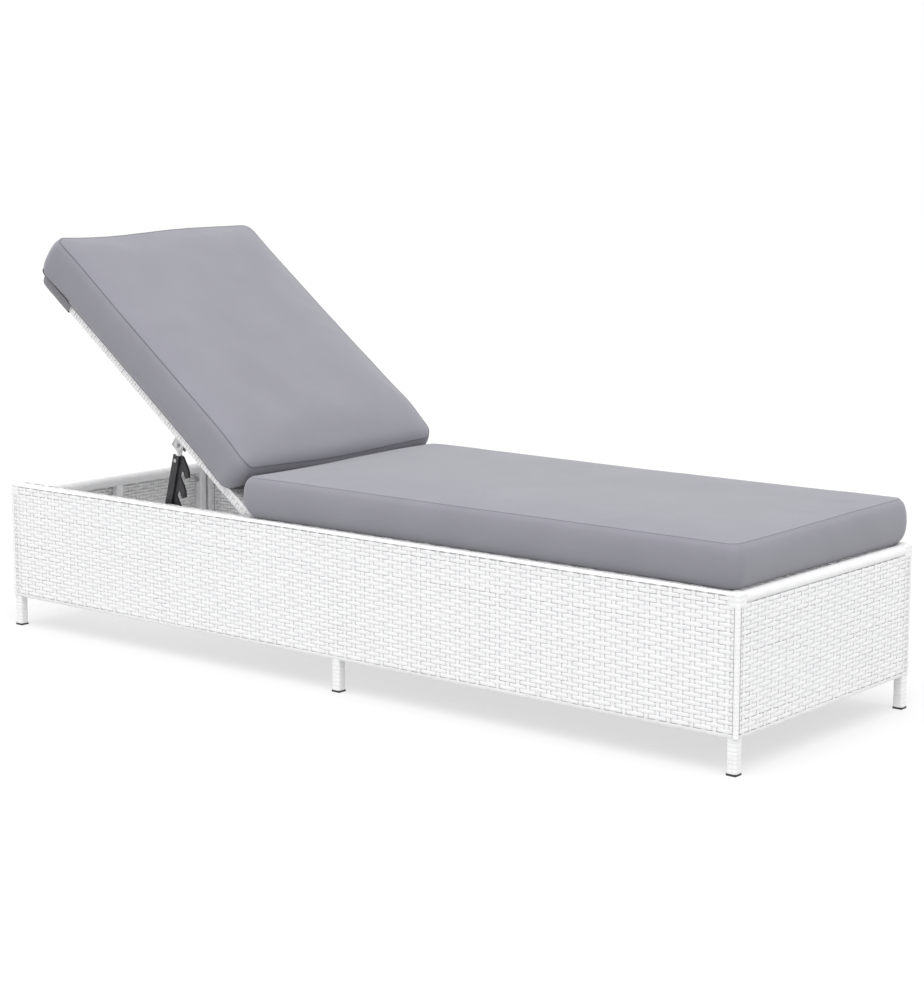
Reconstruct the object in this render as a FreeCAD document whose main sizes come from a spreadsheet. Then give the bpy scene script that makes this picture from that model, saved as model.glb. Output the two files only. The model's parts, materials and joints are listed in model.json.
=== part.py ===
"""A woven sun lounger with a reclining back, two loose cushions and notched props, in millimetres.

The origin is on the floor under the middle of the base. +X runs to the foot end, +Z is up, and "near"
is the -Y side. "rake" is the slope of the raised back, and positions on the back are given along the
panel from the hinge (along), across it (across) and out of its middle plane (normal)."""

import FreeCAD, Part
import Sketcher
import os
import re

doc = FreeCAD.newDocument("SunLounger")

SIZES = {
    # the base and its tubes
    "overall_length": 1950,
    "overall_width": 625,
    "deck_top": 329,
    "skirt_bottom": 67.5,
    "tube": 20,
    "wall": 1.2,
    "rail_width": 25,
    "wrap": 2.5,
    "corner_strip": 10,
    "glide": 4,
    "mid_leg_x": 21,
    "head_rail_top": 309.5,
    "foot_rail_top": 328.5,
    "lip_depth": 22.5,
    "crossbar_pitch": 290,
    "hinge_bar_x": -212,
    "bolt": 6,
    "bolt_head": 11,
    "bolt_head_thick": 4,
    "upper_bolt_z": 268,
    "lower_bolt_z": 117,
    "glide_plug": 12,
    "rod_screw_grip": 14,
    "weave_stop": 8,
    # the hinge and the back
    "hinge_x": -245,
    "hinge_z": 318,
    "rake": 37.1,
    "panel_half_width": 278,
    "panel_thick": 25,
    "panel_reach": 725,
    "panel_heel": 12,
    "hinge_bolt": 8,
    "hinge_head": 13,
    "running_gap": 0.08,
    "bush": 16,
    "nut_thick": 5,
    "back_bottom_along": 28,
    "back_bar_along": 490,
    # the props
    "prop_along": 260,
    "prop_normal": -23,
    "prop_across": 263.5,
    "lean": 14.5,
    "arm": 14,
    "arm_top": 6,
    "socket_depth": 30,
    "spine_top": 24,
    "spine_width": 18,
    "spine_thick": 15,
    "web_thick": 6,
    "first_root": 54,
    "notch_pitch": 45,
    "hook_start": -31,
    "hook_shoulder": -16,
    "hook_shoulder_out": 30,
    "hook_back": -6,
    "hook_back_out": 38,
    "hook_tip_outer": 7,
    "hook_tip_out": 42,
    "hook_tip_inner": 12,
    "hook_tip_in": 34,
    "tail_slope": 6,
    "rivet": 4,
    "rivet_down": 36,
    "rivet_head_thick": 1.5,
    "slot_inner": 15,
    "catch_rod": 12,
    "seat_gap": 0.3,
    "tail": 28,
    "bracket_sheet": 2,
    "bracket_length": 28,
    "bracket_drop": 34,
    "bracket_play": 0.5,
    # the cushions
    "cushion_width": 610,
    "seat_cushion_thick": 81,
    "seat_cushion_head": -235,
    "seat_cushion_foot": 966,
    "back_cushion_thick": 94,
    "back_cushion_start": 70,
    "back_cushion_length": 738,
    "cushion_gap": 0.6,
    "cushion_corner": 22,
    "cushion_edge": 9,
    "hood_depth": 120,
    "hood_sheet": 1.2,
    "hood_gap": 0.4,
    "hood_half_width": 281,
}

sheet = doc.addObject("Spreadsheet::Sheet", "Sizes")
for row, (alias, number) in enumerate(SIZES.items(), start=1):
    sheet.set(f"A{row}", alias)
    sheet.set(f"B{row}", str(number))
    sheet.setAlias(f"B{row}", alias)
doc.recompute()

# Positions that several parts share, worked out from the sheet.
LEG_Y = "(overall_width / 2 - wrap - tube / 2)"
RAIL_Y = "(overall_width / 2 - wrap - rail_width / 2)"
RAIL_INNER_Y = "(overall_width / 2 - wrap - rail_width)"
END_X = "(overall_length / 2 - wrap - tube / 2)"
TOP_RAIL_Z = "(deck_top - wrap - tube / 2)"
TOP_RAIL_UNDER = "(deck_top - wrap - tube)"
BOTTOM_RAIL_Z = "(skirt_bottom + wrap + tube / 2)"
BOTTOM_RAIL_TOP = "(skirt_bottom + wrap + tube)"
END_POST_Y = "(overall_width / 2 - 3 * wrap - 1.625 * tube)"
END_RAIL_HALF = "(overall_width / 2 - 2 * wrap - rail_width)"
HEAD_RAIL_Z = "(head_rail_top - wrap - tube / 2)"
FOOT_RAIL_Z = "(foot_rail_top - wrap - tube / 2)"
BACK_RAIL_Y = "(panel_half_width - wrap - tube / 2)"
PROP_X = "(hinge_x - prop_along * cos(rake) + prop_normal * sin(rake))"
PROP_Z = "(hinge_z + prop_along * sin(rake) + prop_normal * cos(rake))"
STILE_Z = f"(({TOP_RAIL_UNDER} + {BOTTOM_RAIL_TOP}) / 2)"
ROOT_RADIUS = "(catch_rod / 2 + seat_gap)"
BOLT_HEIGHTS = ("upper_bolt_z", "lower_bolt_z")
SIDES = {"near": -1, "far": 1}
ENDS = {"head": -1, "foot": 1}
CROSSBARS = 3
NOTCHES = 4
ROD_DOWN = f"(first_root + {NOTCHES - 1} * notch_pitch + catch_rod / 2 + seat_gap)"
ROD_OUT = "(slot_inner + catch_rod / 2 + seat_gap)"
ROD_X = f"({PROP_X} - {ROD_DOWN} * sin(lean) + {ROD_OUT} * cos(lean))"
ROD_Z = f"({PROP_Z} - {ROD_DOWN} * cos(lean) - {ROD_OUT} * sin(lean))"
BAR_END = f"(first_root + {NOTCHES - 1} * notch_pitch + tail)"
# Each hook's outline as (distance out from the arm's axis, distance below the root of its slot).
HOOK_PROFILE = [
    ("slot_inner", "hook_start"),
    ("hook_shoulder_out", "hook_shoulder"),
    ("hook_back_out", "hook_back"),
    ("hook_tip_out", "hook_tip_outer"),
    ("hook_tip_in", "hook_tip_inner"),
    (f"slot_inner + 2 * {ROOT_RADIUS}", ROOT_RADIUS),
    ("slot_inner", ROOT_RADIUS),
]


def bound(text):
    """The text as an expression in which each name of the sheet points at its cell."""
    return re.sub(r"[a-z_]+", lambda m: f"Sizes.{m[0]}" if m[0] in SIZES else m[0], str(text))


def value(text):
    """What an expression comes to, as a plain number."""
    return float(sheet.evalExpression(bound(text)))


def origin_plane(body, role):
    return next(f for f in body.Origin.OriginFeatures if f.Role == role)


def new_body(label):
    body = doc.addObject("PartDesign::Body", label)
    body.Label = label
    return body


def new_sketch(body, role):
    sketch = body.newObject("Sketcher::SketchObject", f"{body.Name}_sketch")
    sketch.AttachmentSupport = [(origin_plane(body, role), "")]
    sketch.MapMode = "FlatFace"
    return sketch


def bind_point(sketch, geometry, point, across, up):
    """Ties a point of the sketch to two expressions."""
    for kind, text in (("DistanceX", across), ("DistanceY", up)):
        amount = value(text)
        index = sketch.addConstraint(Sketcher.Constraint(kind, -1, 1, geometry, point, amount))
        name = f"{kind.lower()}_{geometry}_{point}"
        sketch.renameConstraint(index, name)
        sketch.setExpression(f"Constraints.{name}", bound(text))


def add_polygon(sketch, corners):
    """A closed outline with every corner tied to two expressions."""
    first = sketch.GeometryCount
    spots = [FreeCAD.Vector(value(x), value(y), 0) for x, y in corners]
    count = len(spots)
    for index, spot in enumerate(spots):
        sketch.addGeometry(Part.LineSegment(spot, spots[(index + 1) % count]), False)
    for index in range(count):
        following = first + (index + 1) % count
        sketch.addConstraint(Sketcher.Constraint("Coincident", first + index, 2, following, 1))
    for index, (x, y) in enumerate(corners):
        bind_point(sketch, first + index, 1, x, y)


def add_box_outline(sketch, width, height, x="0", y="0"):
    """A rectangle about (x, y)."""
    left, right = f"({x}) - ({width}) / 2", f"({x}) + ({width}) / 2"
    low, high = f"({y}) - ({height}) / 2", f"({y}) + ({height}) / 2"
    add_polygon(sketch, [(left, low), (right, low), (right, high), (left, high)])


def add_circle(sketch, diameter, x="0", y="0"):
    centre = FreeCAD.Vector(value(x), value(y), 0)
    normal = FreeCAD.Vector(0, 0, 1)
    index = sketch.addGeometry(Part.Circle(centre, normal, value(diameter) / 2), False)
    size = sketch.addConstraint(Sketcher.Constraint("Diameter", index, value(diameter)))
    sketch.renameConstraint(size, f"diameter_{index}")
    sketch.setExpression(f"Constraints.diameter_{index}", bound(diameter))
    bind_point(sketch, index, 3, x, y)


def pad(body, sketch, length):
    """A pad of this total length, half of it on each side of the sketch."""
    feature = body.newObject("PartDesign::Pad", f"{body.Name}_pad")
    feature.Profile = sketch
    feature.SideType = "Symmetric"
    feature.setExpression("Length", bound(length))
    return feature


def bore(body, role, circles=(), boxes=(), facing=0):
    """Cuts (diameter, x, y) circles and (width, height, x, y) boxes through the body, both ways from
    the plane, or only towards facing on the axis across it, which is -1 or 1."""
    sketch = new_sketch(body, role)
    for diameter, x, y in circles:
        add_circle(sketch, diameter, x, y)
    for width, height, x, y in boxes:
        add_box_outline(sketch, width, height, x, y)
    doc.recompute()
    feature = body.newObject("PartDesign::Pocket", f"{body.Name}_pocket")
    feature.Profile = sketch
    feature.Type = "ThroughAll"
    if facing == 0:
        feature.SideType = "Symmetric"
    else:
        # a cut runs against its plane's normal, and that of XZ_Plane points to -Y
        ahead = 1 if role == "XZ_Plane" else -1
        feature.Reversed = facing != ahead
    return feature


def put(body, x="0", y="0", z="0", turn="0"):
    """Places a sub-part, turned about +Y."""
    body.Placement = FreeCAD.Placement(
        FreeCAD.Vector(value(x), value(y), value(z)),
        FreeCAD.Rotation(FreeCAD.Vector(0, 1, 0), value(turn)),
    )
    for axis, text in (("x", x), ("y", y), ("z", z)):
        body.setExpression(f"Placement.Base.{axis}", bound(text))
    if turn != "0":
        body.setExpression("Placement.Rotation.Angle", bound(turn))


def put_on_back(body, along, across, normal="0"):
    x = f"hinge_x - ({along}) * cos(rake) + ({normal}) * sin(rake)"
    z = f"hinge_z + ({along}) * sin(rake) + ({normal}) * cos(rake)"
    put(body, x, across, z, "rake")


SECTION_PLANES = {"X": "YZ_Plane", "Y": "XZ_Plane", "Z": "XY_Plane"}


def square_tube(label, axis, length, width="tube", height="tube"):
    """A hollow tube along an axis, about its middle. Height is along Z, or along Y on an upright tube."""
    body = new_body(label)
    sketch = new_sketch(body, SECTION_PLANES[axis])
    add_box_outline(sketch, width, height)
    add_box_outline(sketch, f"{width} - 2 * wall", f"{height} - 2 * wall")
    pad(body, sketch, length)
    return body


def round_tube(label, axis, length, outer, inner):
    body = new_body(label)
    sketch = new_sketch(body, SECTION_PLANES[axis])
    add_circle(sketch, outer)
    add_circle(sketch, inner)
    pad(body, sketch, length)
    return body


def plate(label, length, width, height):
    """A solid block about its middle."""
    body = new_body(label)
    sketch = new_sketch(body, "YZ_Plane")
    add_box_outline(sketch, width, height)
    pad(body, sketch, length)
    return body


def group(label, pieces):
    """Separate equal pieces kept together in one sub-part."""
    compound = doc.addObject("Part::Compound", label)
    compound.Label = label
    compound.Links = pieces
    return compound


def pin(name, diameter, length, x, y, z, facing):
    """A cylinder along Y that starts at y and runs towards facing, which is -1 or 1."""
    cylinder = doc.addObject("Part::Cylinder", name)
    cylinder.setExpression("Radius", bound(f"({diameter}) / 2"))
    cylinder.setExpression("Height", bound(length))
    cylinder.Placement = FreeCAD.Placement(
        FreeCAD.Vector(value(x), value(y), value(z)),
        FreeCAD.Rotation(FreeCAD.Vector(1, 0, 0), -90 * facing),
    )
    for axis, text in (("x", x), ("y", y), ("z", z)):
        cylinder.setExpression(f"Placement.Base.{axis}", bound(text))
    return cylinder


def bolt_along_y(name, shank, length, head, head_thick, x, y, z, facing):
    """A round-headed bolt: the shank runs from y towards facing, and the head is behind y."""
    stem = pin(f"{name}_shank", shank, length, x, y, z, facing)
    cap = pin(f"{name}_head", head, head_thick, x, y, z, -facing)
    fused = doc.addObject("Part::Fuse", name)
    fused.Base = stem
    fused.Tool = cap
    return fused


nodes = []


def side_frames():
    """The two long sides: a rail at the top, one at the bottom, three legs and the stiles between."""
    leg_middle = f"({TOP_RAIL_UNDER} + glide) / 2"
    mid_leg_top = "(skirt_bottom + wrap)"
    for side, sign in SIDES.items():
        y = f"{sign} * {LEG_Y}"
        top = square_tube(f"{side}_top_rail", "X", "overall_length - 2 * wrap", "rail_width")
        put(top, y=f"{sign} * {RAIL_Y}", z=TOP_RAIL_Z)
        at_hinge = ("hinge_x", f"hinge_z - {TOP_RAIL_Z}")
        bore(top, "XZ_Plane", [("hinge_bolt", *at_hinge)])
        bore(top, "XZ_Plane", [("hinge_head + 1", *at_hinge)], facing=sign)
        bottom = square_tube(f"{side}_bottom_rail", "X", "overall_length - 2 * wrap - 2 * tube")
        put(bottom, y=y, z=BOTTOM_RAIL_Z)
        nodes.extend([top, bottom])
        for end, direction in ENDS.items():
            leg = square_tube(f"{side}_{end}_leg", "Z", f"{TOP_RAIL_UNDER} - glide")
            put(leg, f"{direction} * {END_X}", y, leg_middle)
            bore(leg, "XZ_Plane", [("bolt", "0", f"{z} - {leg_middle}") for z in BOLT_HEIGHTS])
            nodes.append(leg)
        mid_leg = square_tube(f"{side}_mid_leg", "Z", f"{mid_leg_top} - glide")
        put(mid_leg, "mid_leg_x", y, f"({mid_leg_top} + glide) / 2")
        mid_stile = square_tube(f"{side}_mid_stile", "Z", f"{TOP_RAIL_UNDER} - {BOTTOM_RAIL_TOP}")
        put(mid_stile, "mid_leg_x", y, STILE_Z)
        rod_stile = square_tube(f"{side}_rod_stile", "Z", f"{TOP_RAIL_UNDER} - {BOTTOM_RAIL_TOP}")
        put(rod_stile, ROD_X, y, STILE_Z)
        at_rod = ("0", f"{ROD_Z} - {STILE_Z}")
        bore(rod_stile, "XZ_Plane", [("bolt", *at_rod)])
        bore(rod_stile, "XZ_Plane", [("bolt_head + 1", *at_rod)], facing=sign)
        nodes.extend([mid_leg, mid_stile, rod_stile])


def end_frames():
    """The panels that close the two ends: a round top rail on square posts, bolted to the legs."""
    for end, direction in ENDS.items():
        x = f"{direction} * {END_X}"
        rail_z = HEAD_RAIL_Z if end == "head" else FOOT_RAIL_Z
        rail = round_tube(f"{end}_top_rail", "Y", f"2 * {END_RAIL_HALF}", "tube", "tube - 2 * wall")
        put(rail, x, z=rail_z)
        bottom = square_tube(f"{end}_bottom_rail", "Y", f"2 * ({END_POST_Y} - tube / 2)")
        put(bottom, x, z=BOTTOM_RAIL_Z)
        nodes.extend([rail, bottom])
        low = "(skirt_bottom + wrap)"
        middle = f"({rail_z} + {low}) / 2"
        for side, sign in SIDES.items():
            post = square_tube(f"{end}_{side}_post", "Z", f"{rail_z} - {low}")
            put(post, x, f"{sign} * {END_POST_Y}", middle)
            bore(post, "XZ_Plane", [("bolt", "0", f"{z} - {middle}") for z in BOLT_HEIGHTS])
            cope(post, rail_z, middle)
            nodes.append(post)
    centre_middle = f"({HEAD_RAIL_Z} + {BOTTOM_RAIL_TOP}) / 2"
    centre = square_tube("head_centre_post", "Z", f"{HEAD_RAIL_Z} - {BOTTOM_RAIL_TOP}")
    put(centre, f"-1 * {END_X}", z=centre_middle)
    cope(centre, HEAD_RAIL_Z, centre_middle)
    nodes.append(centre)


def cope(post, rail_z, middle):
    """Hollows the top of a post to fit the round rail across it."""
    bore(post, "XZ_Plane", [("tube", "0", f"{rail_z} - {middle}")])


def glide(name, x, y):
    """A plastic cap under a leg, with a plug inside the tube."""
    size = "(tube - 2 * wall - 2 * seat_gap)"
    pieces = []
    for part, side, bottom, top in (
        ("foot", "tube", "0", "glide"),
        ("plug", size, "glide", "glide + glide_plug"),
    ):
        block = doc.addObject("Part::Box", f"{name}_{part}")
        block.setExpression("Length", bound(side))
        block.setExpression("Width", bound(side))
        block.setExpression("Height", bound(f"{top} - ({bottom})"))
        block.setExpression("Placement.Base.x", bound(f"{x} - {side} / 2"))
        block.setExpression("Placement.Base.y", bound(f"{y} - {side} / 2"))
        block.setExpression("Placement.Base.z", bound(bottom))
        pieces.append(block)
    fused = doc.addObject("Part::Fuse", name)
    fused.Base, fused.Tool = pieces
    return fused


def leg_glides():
    spots = [(f"{d} * {END_X}", sign) for d in ENDS.values() for sign in SIDES.values()]
    spots += [("mid_leg_x", sign) for sign in SIDES.values()]
    caps = [glide(f"glide_{n}", x, f"{sign} * {LEG_Y}") for n, (x, sign) in enumerate(spots)]
    nodes.append(group("leg_glides", caps))


def deck():
    """The tubes between the side rails that carry the seat, and the rod that the props hook onto."""
    span = f"2 * {RAIL_INNER_Y}"
    hinge_bar = square_tube("hinge_crossbar", "Y", span)
    put(hinge_bar, "hinge_bar_x", z=TOP_RAIL_Z)
    bars = []
    for number in range(1, CROSSBARS + 1):
        bar = square_tube(f"crossbar_{number}", "Y", span)
        put(bar, f"hinge_bar_x + {number} * crossbar_pitch", z=TOP_RAIL_Z)
        bars.append(bar)
    inner = f"({LEG_Y} - tube / 2)"
    rod = round_tube("catch_rod", "Y", f"2 * {inner}", "catch_rod", "bolt")
    put(rod, ROD_X, z=ROD_Z)
    screws = []
    for side, sign in SIDES.items():
        start = f"{sign} * ({inner} + wall)"
        name = f"rod_screw_{side}"
        length = "wall + rod_screw_grip"
        screw = bolt_along_y(name, "bolt", length, "bolt_head", "bolt_head_thick", ROD_X, start, ROD_Z, -sign)
        screws.append(screw)
    nodes.extend([hinge_bar, group("deck_crossbars", bars), rod, group("catch_rod_screws", screws)])


def corner_bolts():
    """The bolts that join the end panels to the legs, with their heads inside the base."""
    start = f"({END_POST_Y} - tube / 2)"
    length = f"{LEG_Y} - {start}"
    bolts = []
    for end, direction in ENDS.items():
        for side, sign in SIDES.items():
            for height in BOLT_HEIGHTS:
                name = f"bolt_{end}_{side}_{height}"
                x, y = f"{direction} * {END_X}", f"{sign} * {start}"
                bolt = bolt_along_y(name, "bolt", length, "bolt_head", "bolt_head_thick", x, y, height, sign)
                bolts.append(bolt)
    nodes.append(group("corner_bolts", bolts))


def base_weave():
    """The woven skins of the four sides and the seat, and the bindings round the rails."""
    length = "overall_length - 2 * corner_strip"
    for side, sign in SIDES.items():
        skin = plate(f"{side}_side_wicker", length, "wrap", "deck_top - skirt_bottom")
        put(skin, y=f"{sign} * (overall_width / 2 - wrap / 2)", z="(deck_top + skirt_bottom) / 2")
        binding = new_body(f"{side}_rail_wrap")
        sketch = new_sketch(binding, "YZ_Plane")
        outer, inner = "(overall_width / 2 - wrap)", f"({RAIL_INNER_Y} - wrap)"
        under, lip = "deck_top - wrap", "deck_top - wrap - lip_depth"
        profile = [(outer, under), (outer, "deck_top"), (inner, "deck_top"), (inner, lip)]
        profile += [(RAIL_INNER_Y, lip), (RAIL_INNER_Y, under)]
        add_polygon(sketch, [(f"{sign} * {y}", z) for y, z in profile])
        pad(binding, sketch, length)
        put(binding)
        bars = [f"hinge_bar_x + {n} * crossbar_pitch" for n in range(CROSSBARS + 1)]
        holes = [("tube", "tube", x, TOP_RAIL_Z) for x in bars]
        bore(binding, "XZ_Plane", [("bush", "hinge_x", "hinge_z")], holes)
        nodes.extend([skin, binding])
    for end, direction in ENDS.items():
        rail_z = HEAD_RAIL_Z if end == "head" else FOOT_RAIL_Z
        top = f"({rail_z} - weave_stop)"
        width = "overall_width - 2 * corner_strip"
        skin = plate(f"{end}_end_wicker", "wrap", width, f"{top} - skirt_bottom")
        x = f"{direction} * (overall_length / 2 - wrap / 2)"
        put(skin, x, z=f"({top} + skirt_bottom) / 2")
        binding = round_tube(f"{end}_rail_wrap", "Y", f"2 * {END_RAIL_HALF}", "tube + 2 * wrap", "tube")
        put(binding, f"{direction} * {END_X}", z=rail_z)
        cut_for_posts(binding, end)
        nodes.extend([skin, binding])
    head_edge = "(hinge_bar_x - tube / 2 - wrap)"
    foot_edge = f"({END_X} - tube / 2 - wrap)"
    seat = plate("deck_wicker", f"{foot_edge} - {head_edge}", f"2 * ({RAIL_INNER_Y} - wrap)", "wrap")
    put(seat, f"({foot_edge} + {head_edge}) / 2", z="deck_top - wrap / 2")
    nodes.append(seat)


def cut_for_posts(binding, end):
    """Opens the underside of a rail's binding where the posts meet the rail."""
    posts = [f"{sign} * {END_POST_Y}" for sign in SIDES.values()]
    if end == "head":
        posts.append("0")
    sketch = new_sketch(binding, "XY_Plane")
    for y in posts:
        add_box_outline(sketch, "tube", "tube", "0", y)
    doc.recompute()
    feature = binding.newObject("PartDesign::Pocket", f"{binding.Name}_post_holes")
    feature.Profile = sketch
    feature.Type = "Length"
    feature.setExpression("Length", bound("tube"))


def hinge():
    """Bolts through the side rails that the back turns on, with a bush each side to space it."""
    bolts, bushes, nuts = [], [], []
    back_outer = "(panel_half_width - wrap)"
    back_inner = "(panel_half_width - wrap - tube)"
    for side, sign in SIDES.items():
        start = f"({RAIL_INNER_Y} + wall)"
        nut_start = f"({back_inner} - seat_gap)"
        length = f"{start} - {nut_start} + nut_thick"
        at = ("hinge_x", f"{sign} * {start}", "hinge_z")
        bolt = bolt_along_y(f"hinge_bolt_{side}", "hinge_bolt", length, "hinge_head", "nut_thick", *at, -sign)
        bolts.append(bolt)
        bush_start = f"({back_outer} + seat_gap)"
        bush = ring(f"bush_{side}", "bush", "hinge_bolt", bush_start, RAIL_INNER_Y, at[0], at[2], sign)
        bushes.append(bush)
        nut_end = f"({nut_start} - nut_thick)"
        nut = ring(f"hinge_nut_{side}", "hinge_head", "hinge_bolt", nut_end, nut_start, at[0], at[2], sign)
        nuts.append(nut)
    nodes.extend([group("hinge_bolts", bolts), group("hinge_bushes", bushes), group("hinge_nuts", nuts)])


def ring(name, outer, inner, start, end, x, z, sign):
    """A washer, bush or round nut along Y, between two distances from the middle."""
    at = (x, f"{sign} * {start}", z)
    length = f"({end}) - ({start})"
    cut = doc.addObject("Part::Cut", name)
    cut.Base = pin(f"{name}_body", outer, length, *at, sign)
    cut.Tool = pin(f"{name}_hole", inner, length, *at, sign)
    return cut


def back_frame():
    """The frame of the back, its weave and the brackets under it."""
    reach = "(panel_reach - wrap)"
    length = f"{reach} + panel_heel"
    middle = f"(({reach} - panel_heel) / 2)"
    strips = []
    for side, sign in SIDES.items():
        rail = square_tube(f"back_{side}_rail", "X", length)
        put_on_back(rail, middle, f"{sign} * {BACK_RAIL_Y}")
        bore(rail, "XZ_Plane", [("hinge_bolt + 2 * running_gap", middle, "0")])
        nodes.append(rail)
        strip = plate(f"back_{side}_strip", "panel_reach + panel_heel", "wrap", "panel_thick")
        strip_middle = "((panel_reach - panel_heel) / 2)"
        put_on_back(strip, strip_middle, f"{sign} * (panel_half_width - wrap / 2)")
        bore(strip, "XZ_Plane", [("bush + 1", strip_middle, "0")])
        strips.append(strip)
    span = f"2 * ({BACK_RAIL_Y} - tube / 2)"
    for name, along in (("back_top_rail", f"{reach} - tube / 2"), ("back_bottom_rail", "back_bottom_along")):
        rail = square_tube(name, "Y", span)
        put_on_back(rail, along, "0")
        nodes.append(rail)
    bars = []
    for number, along in enumerate(("prop_along", "back_bar_along"), start=1):
        bar = square_tube(f"back_bar_{number}", "Y", span)
        put_on_back(bar, along, "0")
        bars.append(bar)
    weave = plate("back_wicker", length, "2 * (panel_half_width - wrap)", "wrap")
    put_on_back(weave, middle, "0", "(panel_thick - wrap) / 2")
    end_strip = plate("back_end_strip", "wrap", "2 * (panel_half_width - wrap)", "panel_thick")
    put_on_back(end_strip, "panel_reach - wrap / 2", "0")
    strips.append(end_strip)
    nodes.extend([group("back_crossbars", bars), weave, group("back_edge_wicker", strips)])


def prop_brackets():
    """A folded bracket under each side rail of the back, with its pivot bolt and nut."""
    brackets, bolts, nuts = [], [], []
    inner, outer = "(arm / 2 + bracket_play)", "(arm / 2 + bracket_play + bracket_sheet)"
    under, low = "(0 - tube / 2)", "(0 - bracket_drop)"
    profile = [(f"0 - {outer}", under), (f"0 - {outer}", low), (f"0 - {inner}", low)]
    profile += [(f"0 - {inner}", f"{under} - bracket_sheet"), (inner, f"{under} - bracket_sheet")]
    profile += [(inner, low), (outer, low), (outer, under)]
    for side, sign in SIDES.items():
        bracket = new_body(f"prop_bracket_{side}")
        sketch = new_sketch(bracket, "YZ_Plane")
        add_polygon(sketch, profile)
        pad(bracket, sketch, "bracket_length")
        put_on_back(bracket, "prop_along", f"{sign} * prop_across")
        bore(bracket, "XZ_Plane", [("bolt", "0", "prop_normal")])
        brackets.append(bracket)
        head_side, nut_side = f"(prop_across + {outer})", f"(prop_across - {outer})"
        length = f"2 * {outer} + bolt_head_thick"
        at = (PROP_X, f"{sign} * {head_side}", PROP_Z)
        name = f"prop_bolt_{side}"
        bolts.append(bolt_along_y(name, "bolt", length, "bolt_head", "bolt_head_thick", *at, -sign))
        nut_end = f"({nut_side} - bolt_head_thick)"
        nut = ring(f"prop_nut_{side}", "bolt_head - 1", "bolt", nut_end, nut_side, PROP_X, PROP_Z, sign)
        nuts.append(nut)
    nodes.extend([group("prop_brackets", brackets), group("prop_bolts", bolts), group("prop_nuts", nuts)])


def notched_bar(side, sign):
    """A moulded bar on each prop: a thick spine, and a thinner web cut into downward hooks."""
    bar = new_body(f"{side}_prop_bar")
    spine = new_sketch(bar, "XZ_Plane")
    spine_length = f"({BAR_END} - spine_top)"
    add_box_outline(spine, "spine_width", spine_length, "0", f"0 - ({BAR_END} + spine_top) / 2")
    pad(bar, spine, "spine_thick")
    doc.recompute()
    outline = [("0", "0 - spine_top")]
    for number in range(NOTCHES):
        root = f"(first_root + {number} * notch_pitch)"
        for out, down in HOOK_PROFILE:
            outline.append((out, f"0 - ({root} + {down})"))
    outline += [("slot_inner", f"0 - {BAR_END} + tail_slope"), ("spine_width / 2", f"0 - {BAR_END}")]
    outline += [("0", f"0 - {BAR_END}")]
    web = new_sketch(bar, "XZ_Plane")
    add_polygon(web, outline)
    pad(bar, web, "web_thick")
    roots = []
    for number in range(NOTCHES):
        seat = f"0 - (first_root + {number} * notch_pitch + {ROOT_RADIUS})"
        roots.append((f"2 * {ROOT_RADIUS}", f"slot_inner + {ROOT_RADIUS}", seat))
    bore(bar, "XZ_Plane", roots)
    socket = new_sketch(bar, "XY_Plane")
    add_circle(socket, "arm")
    doc.recompute()
    cut = bar.newObject("PartDesign::Pocket", f"{bar.Name}_socket")
    cut.Profile = socket
    cut.Type = "Length"
    cut.setExpression("Length", bound("spine_top + socket_depth"))
    bore(bar, "XZ_Plane", [("rivet", "0", "0 - rivet_down")])
    put(bar, PROP_X, f"{sign} * prop_across", PROP_Z, "lean")
    return bar


def prop_arm(side, sign):
    """The white tube that hangs the notched bar from its bracket."""
    arm = new_body(f"{side}_prop_arm")
    sketch = new_sketch(arm, "YZ_Plane")
    low = "(0 - spine_top - socket_depth)"
    add_box_outline(sketch, "arm", f"arm_top - {low}", "0", f"(arm_top + {low}) / 2")
    pad(arm, sketch, "arm")
    doc.recompute()
    round_off = new_sketch(arm, "XY_Plane")
    add_circle(round_off, "3 * arm")
    add_circle(round_off, "arm")
    doc.recompute()
    trim = arm.newObject("PartDesign::Pocket", f"{arm.Name}_trim")
    trim.Profile = round_off
    trim.Type = "ThroughAll"
    trim.SideType = "Symmetric"
    bore(arm, "XZ_Plane", [("bolt + 2 * running_gap", "0", "0"), ("rivet", "0", "0 - rivet_down")])
    put(arm, PROP_X, f"{sign} * prop_across", PROP_Z, "lean")
    return arm


def prop_rivet(side, sign):
    """The rivet that holds the bar on its arm, with its head on the outer side."""
    half = "(spine_thick / 2)"
    x = f"({PROP_X} - rivet_down * sin(lean))"
    z = f"({PROP_Z} - rivet_down * cos(lean))"
    at = (x, f"{sign} * (prop_across + {half})", z)
    label = f"{side}_prop_rivet"
    rivet = bolt_along_y(label, "rivet", "spine_thick", "2 * rivet", "rivet_head_thick", *at, -sign)
    rivet.Label = label
    return rivet


def props():
    for side, sign in SIDES.items():
        nodes.extend([notched_bar(side, sign), prop_arm(side, sign), prop_rivet(side, sign)])


def cushion(label, length, thick):
    """A foam block about its middle, with round corners and softened edges."""
    body = new_body(label)
    sketch = new_sketch(body, "XY_Plane")
    add_box_outline(sketch, length, "cushion_width")
    block = pad(body, sketch, thick)
    doc.recompute()
    corners = [n for n, e in enumerate(block.Shape.Edges, 1) if e.BoundBox.ZLength > 1]
    rounded = body.newObject("PartDesign::Fillet", f"{body.Name}_corners")
    rounded.Base = (block, [f"Edge{n}" for n in corners])
    rounded.setExpression("Radius", bound("cushion_corner"))
    doc.recompute()
    rims = [n for n, e in enumerate(rounded.Shape.Edges, 1) if e.BoundBox.ZLength < 0.001]
    softened = body.newObject("PartDesign::Fillet", f"{body.Name}_edges")
    softened.Base = (rounded, [f"Edge{n}" for n in rims])
    softened.setExpression("Radius", bound("cushion_edge"))
    return body


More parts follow.
